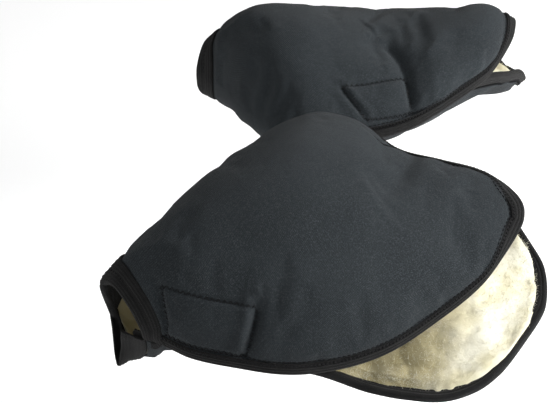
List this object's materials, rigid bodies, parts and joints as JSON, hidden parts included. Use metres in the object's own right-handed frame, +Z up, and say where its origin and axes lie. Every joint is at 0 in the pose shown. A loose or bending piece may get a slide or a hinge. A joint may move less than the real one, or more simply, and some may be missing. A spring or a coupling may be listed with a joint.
{
  "type": "stroller hand muff",
  "caption": "Padded hand muffs that close round a stroller's handles: wool-lined leaves with taped edges, cuff and side closures, a wide hand opening and a bottom leaf that swings down.",
  "frame": {"origin": "midway between the centre lines of the two handles, level with them, where the cuffs start", "axes": "+X along the handles from the cuffs to the hand openings, +Y from the left muff to the right one, +Z up"},
  "size_m": [0.3516, 0.5107, 0.1592],
  "materials": {
    "softshell": "matt dark grey-blue softshell cloth with a fine grain",
    "binding_tape": "matt black ribbed tape",
    "wool": "cream wool pile, soft and tufted",
    "wadding": "off-white padding, inside the leaves",
    "hook_tape": "matt black hook tape",
    "loop_tape": "matt black loop tape"
  },
  "bodies": {
    "top_leaves": {"left_top_shell": "softshell", "left_top_padding": "wadding", "left_top_lining": "wool", "left_top_binding": "binding_tape", "left_top_cuff_binding": "binding_tape", "left_cuff_hook_patch": "hook_tape", "left_side_hook_patch": "hook_tape", "right_top_shell": "softshell", "right_top_padding": "wadding", "right_top_lining": "wool", "right_top_binding": "binding_tape", "right_top_cuff_binding": "binding_tape", "right_cuff_hook_patch": "hook_tape", "right_side_hook_patch": "hook_tape"},
    "left_bottom_leaf": {"left_bottom_shell": "softshell", "left_bottom_padding": "wadding", "left_bottom_lining": "wool", "left_bottom_binding": "binding_tape", "left_bottom_cuff_binding": "binding_tape", "left_cuff_loop_patch": "loop_tape", "left_side_loop_patch": "loop_tape"},
    "right_bottom_leaf": {"right_bottom_shell": "softshell", "right_bottom_padding": "wadding", "right_bottom_lining": "wool", "right_bottom_binding": "binding_tape", "right_bottom_cuff_binding": "binding_tape", "right_cuff_loop_patch": "loop_tape", "right_side_loop_patch": "loop_tape"}
  },
  "joints": [
    {"name": "left_fold", "type": "hinge", "parent": "top_leaves", "child": "left_bottom_leaf", "pos_m": [0.00392, -0.12432, 0.01532], "axis": [0.6486, 0.7149, 0.2611], "range_deg": [0, 50]},
    {"name": "right_fold", "type": "hinge", "parent": "top_leaves", "child": "right_bottom_leaf", "pos_m": [0.04122, 0.12573, 0.0006], "axis": [-0.6849, 0.7272, -0.0467], "range_deg": [0, 50]}
  ]
}
